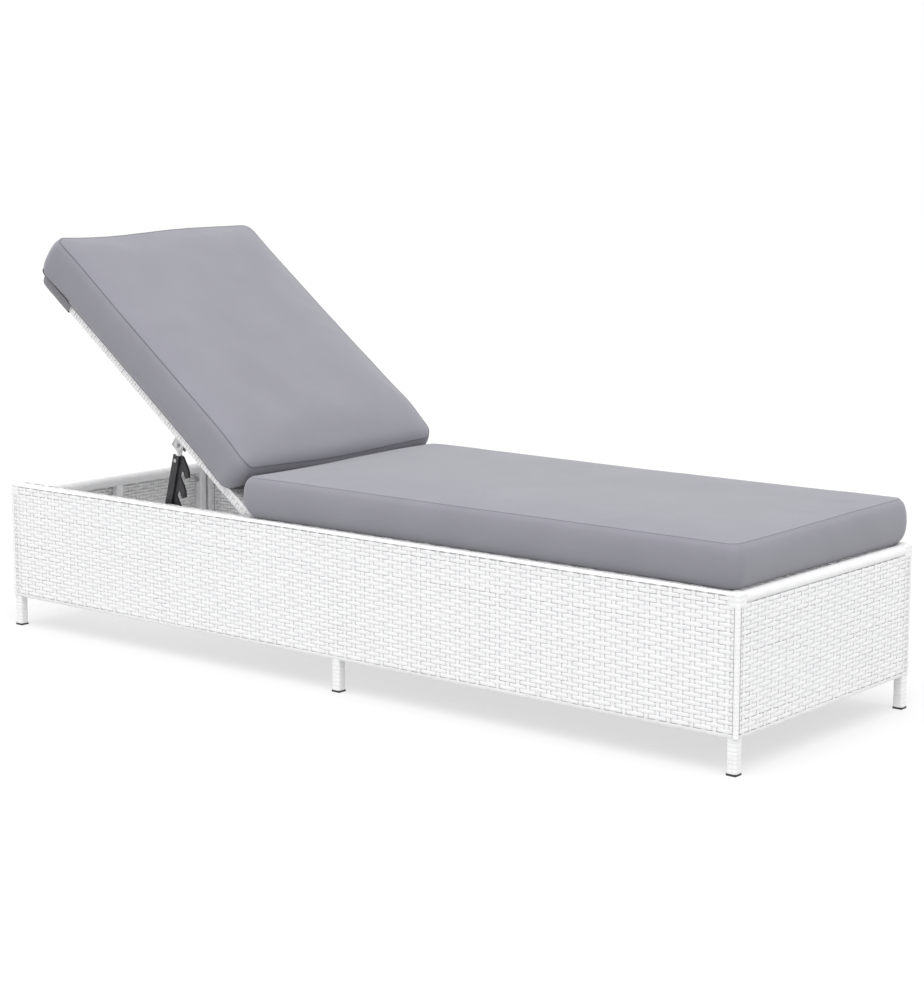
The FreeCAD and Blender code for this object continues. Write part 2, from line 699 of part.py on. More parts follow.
def cushions():
    seat_length = "(seat_cushion_foot - seat_cushion_head)"
    seat = cushion("seat_cushion", seat_length, "seat_cushion_thick")
    middle = "(seat_cushion_foot + seat_cushion_head) / 2"
    put(seat, middle, z="deck_top + cushion_gap + seat_cushion_thick / 2")
    back = cushion("back_cushion", "back_cushion_length", "back_cushion_thick")
    underside = "(panel_thick / 2 + cushion_gap)"
    along = "back_cushion_start + back_cushion_length / 2"
    put_on_back(back, along, "0", f"{underside} + back_cushion_thick / 2")
    end = "(back_cushion_start + back_cushion_length)"
    mouth = f"(0 - {end} + hood_depth)"
    tip = f"(0 - {end})"
    top = f"(0 - panel_thick / 2 - hood_gap)"
    low = f"({top} - hood_sheet)"
    hood = new_body("cushion_hood")
    sketch = new_sketch(hood, "XZ_Plane")
    profile = [(mouth, top), (mouth, low), (tip, low), (tip, underside)]
    profile += [(f"{tip} + hood_sheet", underside), (f"{tip} + hood_sheet", top)]
    add_polygon(sketch, profile)
    pad(hood, sketch, "2 * hood_half_width")
    put_on_back(hood, "0", "0")
    nodes.extend([seat, back, hood])


def check_objects():
    """Stops if any object failed, or if a cut removed nothing."""
    for item in doc.Objects:
        if {"Invalid", "Error"} & set(item.State):
            raise RuntimeError(f"{item.Label} failed: {item.State}")
        if item.TypeId == "PartDesign::Pocket":
            if item.Shape.Volume >= item.BaseFeature.Shape.Volume - 1:
                raise RuntimeError(f"{item.Label} cuts nothing")
    for node in nodes:
        if node.Shape.isNull() or not node.Shape.isValid() or not node.Shape.Solids:
            raise RuntimeError(f"{node.Label} has no valid shape")


side_frames()
end_frames()
leg_glides()
deck()
corner_bolts()
base_weave()
hinge()
back_frame()
prop_brackets()
props()
cushions()
doc.recompute()
check_objects()

os.makedirs("parts", exist_ok=True)
for node in nodes:
    node.Shape.exportStep(f"parts/{node.Label}.step")
    volume = node.Shape.Volume / 1000
    print(f"{node.Label}: {len(node.Shape.Solids)} solid, {volume:.1f} cm3")
print(len(nodes), "nodes")
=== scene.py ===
"""The looks of a woven sun lounger with two cushions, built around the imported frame, in metres."""

import json
import math

import bpy
import numpy as np
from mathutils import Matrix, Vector
from mathutils.bvhtree import BVHTree


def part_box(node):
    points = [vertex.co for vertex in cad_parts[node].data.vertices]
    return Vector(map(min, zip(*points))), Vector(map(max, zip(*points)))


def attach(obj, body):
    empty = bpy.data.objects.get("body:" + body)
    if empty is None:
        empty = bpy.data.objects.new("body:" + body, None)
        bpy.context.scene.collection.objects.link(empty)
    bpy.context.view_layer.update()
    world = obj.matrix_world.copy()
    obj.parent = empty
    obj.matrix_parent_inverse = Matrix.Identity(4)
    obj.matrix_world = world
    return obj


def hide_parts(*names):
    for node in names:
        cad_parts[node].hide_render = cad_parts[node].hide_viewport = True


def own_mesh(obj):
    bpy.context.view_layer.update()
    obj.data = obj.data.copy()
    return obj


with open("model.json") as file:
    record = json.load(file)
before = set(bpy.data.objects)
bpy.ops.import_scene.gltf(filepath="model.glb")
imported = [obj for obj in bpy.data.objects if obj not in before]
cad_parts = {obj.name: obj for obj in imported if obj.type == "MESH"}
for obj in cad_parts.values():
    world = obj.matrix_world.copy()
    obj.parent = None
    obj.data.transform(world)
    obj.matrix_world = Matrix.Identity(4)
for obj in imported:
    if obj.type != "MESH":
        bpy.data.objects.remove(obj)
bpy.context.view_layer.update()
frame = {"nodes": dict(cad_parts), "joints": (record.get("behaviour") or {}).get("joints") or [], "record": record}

MM = 0.001
TINY = 1e-9
NODES = frame["nodes"]
JOINTS = {joint["name"]: joint for joint in frame["joints"]}
rng = np.random.default_rng(7)

# The base: its outer faces, the thickness of the weave and the rails that it wraps.
HALF_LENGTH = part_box("foot_end_wicker")[1].x
HALF_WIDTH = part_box("far_side_wicker")[1].y
DECK_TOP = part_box("deck_wicker")[1].z
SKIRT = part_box("far_side_wicker")[0].z
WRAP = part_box("deck_wicker")[1].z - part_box("deck_wicker")[0].z
SKIN_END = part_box("far_side_wicker")[1].x
RAIL_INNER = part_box("far_top_rail")[0].y
RAIL_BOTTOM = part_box("far_top_rail")[0].z

# The back: where it turns, the directions up it and out of its face, and its angle from level.
HINGE = Vector(JOINTS["recline"]["pos_m"])
UP_BACK = Vector(JOINTS["back_cushion_slide"]["axis"]).normalized()
OUT_BACK = Vector((UP_BACK.z, 0, -UP_BACK.x))
RAKE = math.atan2(UP_BACK.z, -UP_BACK.x)

# The weave: flat strips, with broad warps far apart and narrow rows close together.
ROW = 7.9 * MM
WARP = 24.4 * MM
ROW_WIDTH = 8.0 * MM
WARP_WIDTH = 10.4 * MM

# A strip's section: shares of its width, and millimetres out of the surface.
ROW_SHAPE = [(-0.5, -0.08), (-0.4, 0.3), (0, 0.4), (0.4, 0.3), (0.5, -0.08), (0, -0.42)]
WARP_SHAPE = [(-0.5, -0.3), (-0.3, 0.4), (0, 0.25), (0.3, 0.4), (0.5, -0.3), (0, -0.35)]

# How far out a strip's middle lies where it goes in front and where it goes behind.
ROW_FRONT, ROW_BACK = 1.85 * MM, 0.75 * MM
WARP_FRONT, WARP_BACK = 1.6 * MM, 1.05 * MM

# A row's way behind a warp: millimetres from the warp's middle, and the share of the full dip.
DIP = [(-9.4, 0), (-7.9, 0.14), (-6.5, 0.8), (-5.1, 1), (5.1, 1), (6.5, 0.8), (7.9, 0.14), (9.4, 0)]

# Half of the length over which a warp stays level at each row.
WARP_LEVEL = 2.4 * MM

# How unevenly the strips lie: off their places, in a slow waver, and in width.
ROW_STRAY = 0.12 * MM
WARP_STRAY = 0.25 * MM
WAVER = 0.25 * MM
WAVER_RATE = (9, 16)
WAVER_START = (0, 6)
WIDTH_SPREAD = (0.95, 1.02)

# How the skins bend round the rails, and how far they go in under the bottom ones.
BEND = 3 * MM
TURN_UNDER = 19 * MM


# ---------------------------------------------------------------- materials


def principled(material):
    return material.node_tree.nodes["Principled BSDF"]


def new_material(name, colour, roughness, **sockets):
    material = bpy.data.materials.new(name)
    material.use_nodes = True
    inputs = principled(material).inputs
    inputs["Base Color"].default_value = (*colour, 1)
    inputs["Roughness"].default_value = roughness
    for socket, value in sockets.items():
        inputs[socket.replace("_", " ")].default_value = value
    return material


def node(material, kind, **settings):
    made = material.node_tree.nodes.new(kind)
    for name, value in settings.items():
        if hasattr(made, name):
            setattr(made, name, value)
        else:
            made.inputs[name.replace("_", " ")].default_value = value
    return made


def link(material, source, target, out=0, into=0):
    material.node_tree.links.new(source.outputs[out], target.inputs[into])


def position(material, turn=(0, 0, 0)):
    """The place on the object, in metres, turned."""
    coordinates = node(material, "ShaderNodeTexCoord")
    mapping = node(material, "ShaderNodeMapping")
    mapping.inputs["Rotation"].default_value = turn
    link(material, coordinates, mapping, "Object", "Vector")
    return mapping


def noise(material, scale, detail=4.0):
    made = node(material, "ShaderNodeTexNoise", Scale=scale, Detail=detail)
    link(material, position(material), made, 0, "Vector")
    return made


def wave(material, scale, axis, turn):
    made = node(material, "ShaderNodeTexWave", bands_direction=axis, Scale=scale, Distortion=0.6)
    made.inputs["Detail"].default_value = 1.0
    made.inputs["Detail Scale"].default_value = 2.0
    link(material, position(material, turn), made, 0, "Vector")
    return made


def vary_colour(material, dark, light, scale, detail=3.0, low=0.35, high=0.65):
    """Drives the colour between two values with a soft noise."""
    mottle = noise(material, scale, detail)
    ramp = node(material, "ShaderNodeValToRGB")
    ramp.color_ramp.elements[0].position = low
    ramp.color_ramp.elements[0].color = (*dark, 1)
    ramp.color_ramp.elements[1].position = high
    ramp.color_ramp.elements[1].color = (*light, 1)
    link(material, mottle, ramp, "Fac", "Fac")
    link(material, ramp, principled(material), "Color", "Base Color")


def vary_roughness(material, low, high, scale):
    mottle = noise(material, scale)
    spread = node(material, "ShaderNodeMapRange")
    spread.inputs["To Min"].default_value = low
    spread.inputs["To Max"].default_value = high
    link(material, mottle, spread, "Fac", "Value")
    link(material, spread, principled(material), 0, "Roughness")


def add_bump(material, heights, strength, distance):
    """Bumps the surface with the sum of several height sources."""
    total = heights[0]
    for other in heights[1:]:
        adder = node(material, "ShaderNodeMath", operation="ADD")
        link(material, total, adder)
        link(material, other, adder, 0, 1)
        total = adder
    bump = node(material, "ShaderNodeBump", Strength=strength, Distance=distance)
    link(material, total, bump, 0, "Height")
    link(material, bump, principled(material), "Normal", "Normal")


def strip_material():
    """White woven plastic strip: satin, with a fine grain and slight changes of tone."""
    material = new_material("woven_strip", (0.74, 0.74, 0.745), 0.42, Specular_IOR_Level=0.4)
    vary_colour(material, (0.705, 0.705, 0.715), (0.745, 0.745, 0.75), scale=55, low=0.3, high=0.62)
    vary_roughness(material, low=0.34, high=0.52, scale=140)
    add_bump(material, [noise(material, 1400, 2.0), noise(material, 260)], strength=0.16, distance=0.4 * MM)
    return material


def paint_material():
    """White powder coat with its faint orange peel."""
    material = new_material("powder_coat", (0.84, 0.84, 0.85), 0.38)
    vary_colour(material, (0.72, 0.72, 0.73), (0.76, 0.76, 0.765), scale=30)
    vary_roughness(material, low=0.3, high=0.42, scale=90)
    add_bump(material, [noise(material, 900, 2.0)], strength=0.12, distance=0.3 * MM)
    return material


def fabric_material(name, tones, sheen, turn):
    """A plain woven cover: crossed threads, soft mottling and a little sheen."""
    dark, light = tones
    material = new_material(
        name, light, 0.85, Sheen_Weight=sheen, Sheen_Roughness=0.45, Specular_IOR_Level=0.25
    )
    vary_colour(material, dark, light, scale=9, detail=5.0, low=0.3, high=0.7)
    vary_roughness(material, low=0.78, high=0.92, scale=60)
    threads = [wave(material, 480, axis, turn) for axis in ("X", "Y", "Z")]
    add_bump(material, threads + [noise(material, 700, 2.0)], strength=0.22, distance=0.3 * MM)
    return material


def bar_material():
    """Black moulded plastic, a little paler in patches."""
    material = new_material("moulded_black", (0.012, 0.012, 0.014), 0.42)
    vary_colour(material, (0.009, 0.009, 0.011), (0.022, 0.022, 0.025), scale=40)
    vary_roughness(material, low=0.32, high=0.5, scale=120)
    add_bump(material, [noise(material, 800)], strength=0.15, distance=0.3 * MM)
    return material


def steel_material():
    """Zinc-plated steel with a faint grain."""
    material = new_material("zinc_steel", (0.55, 0.55, 0.56), 0.34, Metallic=1.0)
    vary_colour(material, (0.42, 0.42, 0.43), (0.62, 0.62, 0.63), scale=90)
    vary_roughness(material, low=0.26, high=0.42, scale=200)
    add_bump(material, [noise(material, 1800, 2.0)], strength=0.1, distance=0.2 * MM)
    return material


# Each cloth's dark and light tones, and the ways its threads can lie.
COVER_TONES = ((0.212, 0.21, 0.24), (0.228, 0.226, 0.257))
HOOD_TONES = ((0.196, 0.195, 0.215), (0.212, 0.21, 0.232))
SEAM_TONES = ((0.145, 0.143, 0.165), (0.165, 0.163, 0.187))
LEVEL = (0, 0, 0)
RAKED = (0, -RAKE, 0)

STRIP = strip_material()
PAINT = paint_material()
COVER = fabric_material("cushion_cover", COVER_TONES, sheen=0.25, turn=LEVEL)
BACK_COVER = fabric_material("back_cushion_cover", COVER_TONES, sheen=0.25, turn=RAKED)
HOOD = fabric_material("hood_cover", HOOD_TONES, sheen=0.15, turn=RAKED)
SEAM = fabric_material("seam_thread", SEAM_TONES, sheen=0.1, turn=LEVEL)
BLACK = bar_material()
STEEL = steel_material()


def paint_nodes():
    """Gives every kept node the finish of its slot."""
    finishes = {
        "frame_tube": PAINT,
        "wicker": STRIP,
        "cushion_cover": COVER,
        "hood_cover": HOOD,
        "bar_plastic": BLACK,
        "arm_white": PAINT,
        "rivet": STEEL,
        "glide_plastic": BLACK,
        "bush_plastic": BLACK,
        "rod_steel": PAINT,
        "fastener": STEEL,
    }
    for part in frame["record"]["subparts"]:
        mesh = NODES[part["node"]].data
        mesh.materials.clear()
        mesh.materials.append(finishes[part["material_slot"]])


# ---------------------------------------------------------------- mesh tools


def new_piece(name, points, faces):
    mesh = bpy.data.meshes.new(name)
    mesh.from_pydata(points, [], faces)
    piece = bpy.data.objects.new(name, mesh)
    bpy.context.scene.collection.objects.link(piece)
    return piece


def apply_modifiers(piece):
    """Turns a piece's modifiers into its mesh, and shades it smooth."""
    depsgraph = bpy.context.evaluated_depsgraph_get()
    piece.data = bpy.data.meshes.new_from_object(piece.evaluated_get(depsgraph))
    piece.modifiers.clear()
    piece.data.name = piece.name
    piece.data.shade_smooth()


def subdivide(piece, levels):
    smoother = piece.modifiers.new("smooth", "SUBSURF")
    smoother.levels = smoother.render_levels = levels


def eased(value, low, high):
    """0 below low, 1 above high and a smooth climb between."""
    share = np.clip((value - low) / (high - low), 0, 1)
    return share * share * (3 - 2 * share)


def evenly(length, pitch):
    """How many strips fill a length at about a pitch, and how far apart they then are."""
    count = max(1, int(round(length / pitch)))
    return count, length / count


class Strips:
    """Closed strips that follow paths, gathered into one mesh."""

    def __init__(self):
        self.points = []
        self.faces = []
        self.count = 0

    def add(self, path, across, out, shape, looped=False):
        """shape is a ring of (across, out) offsets in metres about each point of the path."""
        path = np.asarray(path, float)
        across = np.broadcast_to(np.asarray(across, float), path.shape)
        out = np.broadcast_to(np.asarray(out, float), path.shape)
        shape = np.asarray(shape, float)
        rings = path[:, None] + shape[None, :, :1] * across[:, None] + shape[None, :, 1:] * out[:, None]
        number, size = rings.shape[:2]
        index = np.arange(number * size).reshape(number, size) + self.count
        start = index if looped else index[:-1]
        following = np.roll(index, -1, 0) if looped else index[1:]
        quads = np.stack([start, np.roll(start, -1, 1), np.roll(following, -1, 1), following], -1)
        quads = quads.reshape(-1, 4)
        middle = number // 2 - 1
        along = path[middle + 1] - path[middle]
        facing = np.dot(np.cross(across[middle], out[middle]), along)
        turn = np.sum(shape[:, 0] * np.roll(shape[:, 1], -1) - np.roll(shape[:, 0], -1) * shape[:, 1])
        flip = facing * turn < 0
        self.faces += (quads[:, ::-1] if flip else quads).tolist()
        if not looped:
            ends = [index[0][::-1].tolist(), index[-1].tolist()]
            self.faces += [end[::-1] for end in ends] if flip else ends
        self.points.append(rings.reshape(-1, 3))
        self.count += number * size

    def make(self, name, material, body, slot, *replaced):
        piece = new_piece(name, np.concatenate(self.points).tolist(), self.faces)
        piece.data.shade_smooth()
        return dress(piece, material, body, slot, *replaced)


def dress(piece, material, body, slot, *replaced):
    """Gives a piece its finish and its body, and hides the nodes that it stands for."""
    piece.data.materials.clear()
    piece.data.materials.append(material)
    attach(piece, body)
    if replaced:
        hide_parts(*replaced)
    return piece


class Outline:
    """A line through corners in a plane, with each corner rounded, read by its length."""

    def __init__(self, corners, radius, outward=1, closed=False):
        points = [Vector(corner) for corner in corners]
        line = []
        for number, point in enumerate(points):
            if not closed and number in (0, len(points) - 1):
                line.append(point)
                continue
            before = points[number - 1]
            after = points[(number + 1) % len(points)]
            line += self.corner(before, point, after, radius)
        if closed:
            line.append(line[0])
        self.points = np.array(line)
        self.steps = np.linalg.norm(np.diff(self.points, axis=0), axis=1)
        self.reach = np.concatenate([[0], np.cumsum(self.steps)])
        self.length = self.reach[-1]
        self.outward = outward
        self.closed = closed

    @staticmethod
    def corner(before, point, after, radius, pieces=5):
        """Points of the arc that rounds a right-angled corner."""
        come, leave = (before - point).normalized(), (after - point).normalized()
        centre = point + (come + leave) * radius
        arc = []
        for step in range(pieces + 1):
            angle = step / pieces * math.pi / 2
            arc.append(centre - leave * radius * math.cos(angle) - come * radius * math.sin(angle))
        return arc

    def at(self, lengths):
        """Points and outward directions at lengths along the line."""
        lengths = np.asarray(lengths, float)
        if self.closed:
            lengths = lengths % self.length
        spots = np.stack([np.interp(lengths, self.reach, self.points[:, k]) for k in (0, 1)], -1)
        nudge = 0.4 * MM
        after, before = lengths + nudge, lengths - nudge
        if self.closed:
            after, before = after % self.length, before % self.length
        ahead = np.stack([np.interp(after, self.reach, self.points[:, k]) for k in (0, 1)], -1)
        behind = np.stack([np.interp(before, self.reach, self.points[:, k]) for k in (0, 1)], -1)
        tangent = ahead - behind
        tangent /= np.maximum(np.linalg.norm(tangent, axis=1, keepdims=True), TINY)
        normal = np.stack([tangent[:, 1], -tangent[:, 0]], -1) * self.outward
        return spots, normal


def stretched(shape, width):
    """A strip's section at a width, its depths in millimetres."""
    return [(across * width, out * MM) for across, out in shape]


class Weave:
    """Rows and warps over a surface that is straight one way and follows an outline the other."""

    def __init__(self, outline, first, second, along, origin=(0, 0, 0)):
        """first and second are the outline's two axes, and along the straight direction."""
        self.outline = outline
        self.axes = np.array([first, second], float)
        self.along = np.array(along, float)
        self.origin = np.array(origin, float)
        self.rows = Strips()
        self.warps = Strips()

    def place(self, lengths, straight, depth):
        """World points, outward directions and directions along the outline."""
        spots, normal = self.outline.at(lengths)
        out = normal @ self.axes
        points = self.origin + spots @ self.axes + np.outer(straight, self.along) + out * depth[:, None]
        return points, out, np.cross(self.along, out)

    def rows_straight(self, start, end):
        """Rows run straight, and the warps follow the outline."""
        rows, pitch = evenly(self.outline.length, ROW)
        warps, spacing = evenly(end - start, WARP)
        centres = start + (np.arange(warps) + 0.5) * spacing
        for row in range(rows):
            level = (row + 0.5) * pitch + rng.normal(0, ROW_STRAY)
            straight, depth = self.dips(centres, row, start, end)
            lengths = level + WAVER * np.sin(straight * rng.uniform(*WAVER_RATE) + rng.uniform(*WAVER_START))
            points, out, across = self.place(lengths, straight, depth)
            width = ROW_WIDTH * rng.uniform(*WIDTH_SPREAD)
            self.rows.add(points, across, out, stretched(ROW_SHAPE, width))
        for number, centre in enumerate(centres):
            lengths, depth = self.lifts(number, rows, pitch, self.outline.length)
            straight = np.full(len(lengths), centre + rng.normal(0, WARP_STRAY))
            points, out, _ = self.place(lengths, straight, depth)
            self.warps.add(points, self.along, out, stretched(WARP_SHAPE, WARP_WIDTH))

    def rows_across(self, start, end):
        """Rows follow the outline, and the warps run straight."""
        rows, pitch = evenly(end - start, ROW)
        warps, spacing = evenly(self.outline.length, WARP)
        centres = (np.arange(warps) + 0.5) * spacing
        for row in range(rows):
            lengths, depth = self.dips(centres, row, 0, self.outline.length)
            every = np.unique(np.round(np.concatenate([lengths, self.outline.reach]), 5))
            depth = np.interp(every, lengths, depth)
            level = start + (row + 0.5) * pitch + rng.normal(0, ROW_STRAY)
            points, out, _ = self.place(every, np.full(len(every), level), depth)
            width = ROW_WIDTH * rng.uniform(*WIDTH_SPREAD)
            self.rows.add(points, self.along, out, stretched(ROW_SHAPE, width))
        for number, centre in enumerate(centres):
            straight, depth = self.lifts(number, rows, pitch, end - start)
            lengths = np.full(len(straight), centre)
            points, out, across = self.place(lengths, start + straight, depth)
            self.warps.add(points, across, out, stretched(WARP_SHAPE, WARP_WIDTH))

    @staticmethod
    def dips(centres, row, start, end):
        """Where a row turns, and its depth there: it goes behind every second warp."""
        spots, depths = [start], [ROW_FRONT]
        for number, centre in enumerate(centres):
            if (number + row) % 2:
                continue
            for offset, share in DIP:
                spot = centre + offset * MM
                if start < spot < end:
                    spots.append(spot)
                    depths.append(ROW_FRONT + (ROW_BACK - ROW_FRONT) * share)
        spots.append(end)
        depths.append(ROW_FRONT)
        return np.array(spots), np.array(depths)

    @staticmethod
    def lifts(number, rows, pitch, end):
        """Where a warp turns, and its depth there: it shows where the row goes behind it."""
        spots, depths = [0], [WARP_BACK]
        for row in range(rows):
            shown = (number + row) % 2 == 0
            for offset in (-WARP_LEVEL, WARP_LEVEL):
                spots.append((row + 0.5) * pitch + offset)
                depths.append(WARP_FRONT if shown else WARP_BACK)
        spots.append(end)
        depths.append(WARP_BACK)
        return np.array(spots), np.array(depths)

    def make(self, name, body, *replaced):
        self.warps.make(f"{name}_warps", STRIP, body, "wicker")
        return self.rows.make(name, STRIP, body, "wicker", *replaced)


# ---------------------------------------------------------------- the base


def weave_sides():
    """The long sides: the warps go over the top rail and round the bottom one."""
    skin = HALF_WIDTH - WRAP
    under = SKIRT + WRAP
    corners = [
        (skin - TURN_UNDER, under),
        (skin, under),
        (skin, DECK_TOP - WRAP),
        (RAIL_INNER, DECK_TOP - WRAP),
        (RAIL_INNER, RAIL_BOTTOM),
    ]
    for side, sign in (("near", -1), ("far", 1)):
        cover = Weave(Outline(corners, BEND), (0, sign, 0), (0, 0, 1), (1, 0, 0))
        cover.rows_straight(-SKIN_END, SKIN_END)
        cover.make(f"{side}_side_weave", "base", f"{side}_side_wicker", f"{side}_rail_wrap")


def weave_ends():
    """The two ends: the warps go round the bottom rail and up to the round top rail."""
    skin = HALF_LENGTH - WRAP
    under = SKIRT + WRAP
    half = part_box("foot_end_wicker")[1].y
    for end, sign in (("head", -1), ("foot", 1)):
        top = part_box(f"{end}_end_wicker")[1].z
        corners = [(skin - TURN_UNDER, under), (skin, under), (skin, top)]
        cover = Weave(Outline(corners, BEND), (sign, 0, 0), (0, 0, 1), (0, 1, 0))
        cover.rows_straight(-half, half)
        cover.make(f"{end}_end_weave", "base", f"{end}_end_wicker")


def weave_deck():
    """The seat: its rows run across, and its head edge goes round the hinge crossbar."""
    low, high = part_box("deck_wicker")
    bar_low, bar_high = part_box("hinge_crossbar")
    short = 4 * MM
    corners = [
        (bar_high.x - short, bar_low.z),
        (bar_low.x, bar_low.z),
        (bar_low.x, bar_high.z),
        (high.x, bar_high.z),
    ]
    cover = Weave(Outline(corners, BEND, outward=-1), (1, 0, 0), (0, 0, 1), (0, 1, 0))
    cover.rows_straight(low.y, high.y)
    cover.make("deck_weave", "base", "deck_wicker")


def along_back(name):
    """How far a node reaches along the back from the hinge, at its two ends."""
    spots = [(v.co - HINGE).dot(UP_BACK) for v in NODES[name].data.vertices]
    return min(spots), max(spots)


PANEL_HEEL = -along_back("back_edge_wicker")[0]
PANEL_REACH = along_back("back_edge_wicker")[1]


def weave_back():
    """The back: its rows go across and round the side rails."""
    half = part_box("back_edge_wicker")[1].y - WRAP
    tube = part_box("back_far_rail")[1].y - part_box("back_far_rail")[0].y
    inner = half - tube
    face = tube / 2
    corners = [(-inner, -face), (-half, -face), (-half, face), (half, face), (half, -face), (inner, -face)]
    cover = Weave(Outline(corners, BEND, outward=-1), (0, 1, 0), OUT_BACK, UP_BACK, HINGE)
    cover.rows_across(-PANEL_HEEL, PANEL_REACH)
    cover.make("back_weave", "backrest", "back_wicker", "back_edge_wicker")


def rounded_box(half_x, half_y, radius, centre):
    """The outline of an upright post."""
    x, y = centre
    corners = [(x - half_x, y - half_y), (x + half_x, y - half_y), (x + half_x, y + half_y)]
    return Outline(corners + [(x - half_x, y + half_y)], radius, closed=True)


def wound_section(step, flat, edge, depth):
    """One turn of strip: the share of it that is flat, how low its edges lie and how deep it goes."""
    half = step / 2
    inner = flat * half
    return [(-half, -depth), (-half, -edge), (-inner, 0), (inner, 0), (half, -edge), (half, -depth)]


def bands(strips, outline, low, high, thick):
    """Strip wound round an upright post, one band above another."""
    count, step = evenly(high - low, ROW)
    spots, normal = outline.at(outline.reach[:-1])
    out = np.concatenate([normal, np.zeros((len(normal), 1))], 1)
    shape = wound_section(step, flat=0.72, edge=0.12 * thick, depth=0.9 * thick)
    for number in range(count):
        level = np.full((len(spots), 1), low + (number + 0.5) * step)
        strips.add(np.concatenate([spots, level], 1), (0, 0, 1), out, shape, looped=True)


def outer_corners():
    """The names of the base's four corners, and which way each lies along and across."""
    return [
        (f"{side}_{end}", ahead, across)
        for side, across in (("near", -1), ("far", 1))
        for end, ahead in (("head", -1), ("foot", 1))
    ]


def wound_posts():
    """The legs and end posts, each wound with strip, and the strips over the four outer corners."""
    grow, radius, thick = 0.3 * MM, 4.5 * MM, 1.6 * MM
    wound = [f"{side}_{end}_leg" for side in ("near", "far") for end in ("head", "mid", "foot")]
    wound += ["head_near_post", "head_far_post", "head_centre_post", "foot_near_post", "foot_far_post"]
    for name in wound:
        low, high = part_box(name)
        half = (high.x - low.x) / 2 + grow
        centre = ((low.x + high.x) / 2, (low.y + high.y) / 2)
        strips = Strips()
        bands(strips, rounded_box(half, half, radius, centre), low.z, high.z, thick)
        strips.make(f"{name}_winding", STRIP, "base", "wicker", name)
    inset, half, radius, thick = 5.6 * MM, 5.5 * MM, 4.6 * MM, 1.2 * MM
    for name, ahead, across in outer_corners():
        centre = (ahead * (HALF_LENGTH - inset), across * (HALF_WIDTH - inset))
        strips = Strips()
        bands(strips, rounded_box(half, half, radius, centre), SKIRT, RAIL_BOTTOM, thick)
        strips.make(f"{name}_corner_strip", STRIP, "base", "wicker")


def block(strips, outline, low, high):
    """A wound block with a closed, rounded top."""
    count, step = evenly(high - low, ROW)
    groove, face, groove_share = 0.5 * MM, 0.05 * MM, 0.14
    levels = []
    for number in range(count):
        base = low + number * step
        start, end = base + groove_share * step, base + (1 - groove_share) * step
        levels += [(base, groove), (start, face), (end, face)]
    levels += [(high - 0.5 * MM, 0.9 * MM), (high, 2.4 * MM)]
    spots, normal = outline.at(outline.reach[:-1])
    for level, inset in levels:
        ring = spots - normal * inset
        strips.points.append(np.concatenate([ring, np.full((len(ring), 1), level)], 1))
    size = len(spots)
    rings = np.arange(len(levels) * size).reshape(len(levels), size) + strips.count
    beside = np.roll(rings, -1, 1)
    walls = np.stack([rings[:-1], beside[:-1], beside[1:], rings[1:]], -1)
    strips.faces += walls.reshape(-1, 4).tolist() + [rings[0][::-1].tolist(), rings[-1].tolist()]
    strips.count += rings.size


def corner_caps():
    """The wound corners, which close the ends of the side rails."""
    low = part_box("far_top_rail")[0].z - 4 * MM
    high = DECK_TOP + 0.2 * MM
    half_x, half_y, radius = 12.4 * MM, 14.7 * MM, 5 * MM
    for name, ahead, across in outer_corners():
        centre = (ahead * (HALF_LENGTH - half_x), across * (HALF_WIDTH - half_y))
        strips = Strips()
        block(strips, rounded_box(half_x, half_y, radius, centre), low, high)
        strips.make(f"{name}_corner_cap", STRIP, "base", "wicker")


def wound_rails():
    """The round top rails of the two ends, wound with strip at a slant."""
    reach = HALF_WIDTH - 11 * MM
    count, step = evenly(2 * reach, ROW)
    shape = wound_section(step, flat=0.7, edge=0.28 * MM, depth=2.2 * MM)
    angles = np.linspace(0, 2 * math.pi, 28, endpoint=False)
    out = np.stack([np.cos(angles), 0 * angles, np.sin(angles)], -1)
    slant = 0.225 * step * np.cos(angles)
    for end in ("head", "foot"):
        low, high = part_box(f"{end}_rail_wrap")
        radius = (high.z - low.z) / 2
        centre = np.array(((low.x + high.x) / 2, 0, (low.z + high.z) / 2))
        strips = Strips()
        for number in range(count):
            level = (number + 0.5) * step - reach
            path = centre + out * radius + np.outer(level + slant, (0, 1, 0))
            strips.add(path, (0, 1, 0), out, shape, looped=True)
        strips.make(f"{end}_rail_winding", STRIP, "base", "wicker", f"{end}_rail_wrap")


# ---------------------------------------------------------------- the cushions


# Millimetres in from an edge where a cushion's mesh has extra lines, in plan and through its thickness.
FINE_PLAN = (0, 2.5, 6.5, 12, 20)
FINE_DEEP = (0, 2.5, 7, 14)

# The cloth simulation: its frames, its pressure and how far it may move a point.
SWELL_FRAMES = 20
SWELL_PRESSURE = 4.0
SWELL_CAP = 8 * MM


def spaced(length, cell, fine):
    """Places along an edge, close together near its two ends, about its middle."""
    near = np.array(fine) * MM
    inner = length - 2 * near[-1]
    count, _ = evenly(inner, cell)
    middle = near[-1] + np.arange(1, count) * inner / count
    return np.concatenate([near, middle, (length - near)[::-1]]) - length / 2


def round_corners(points, half, radius):
    """Pulls the square plan of a box in to a rounded one."""
    for corner in ((1, 1), (1, -1), (-1, 1), (-1, -1)):
        corner = np.array(corner)
        share = (points[:, :2] * corner - (half - radius)) / radius
        inside = (share > 0).all(1)
        part = share[inside]
        bent = part * np.sqrt(1 - part[:, ::-1] ** 2 / 2)
        points[inside, :2] = corner * (half - radius + bent * radius)


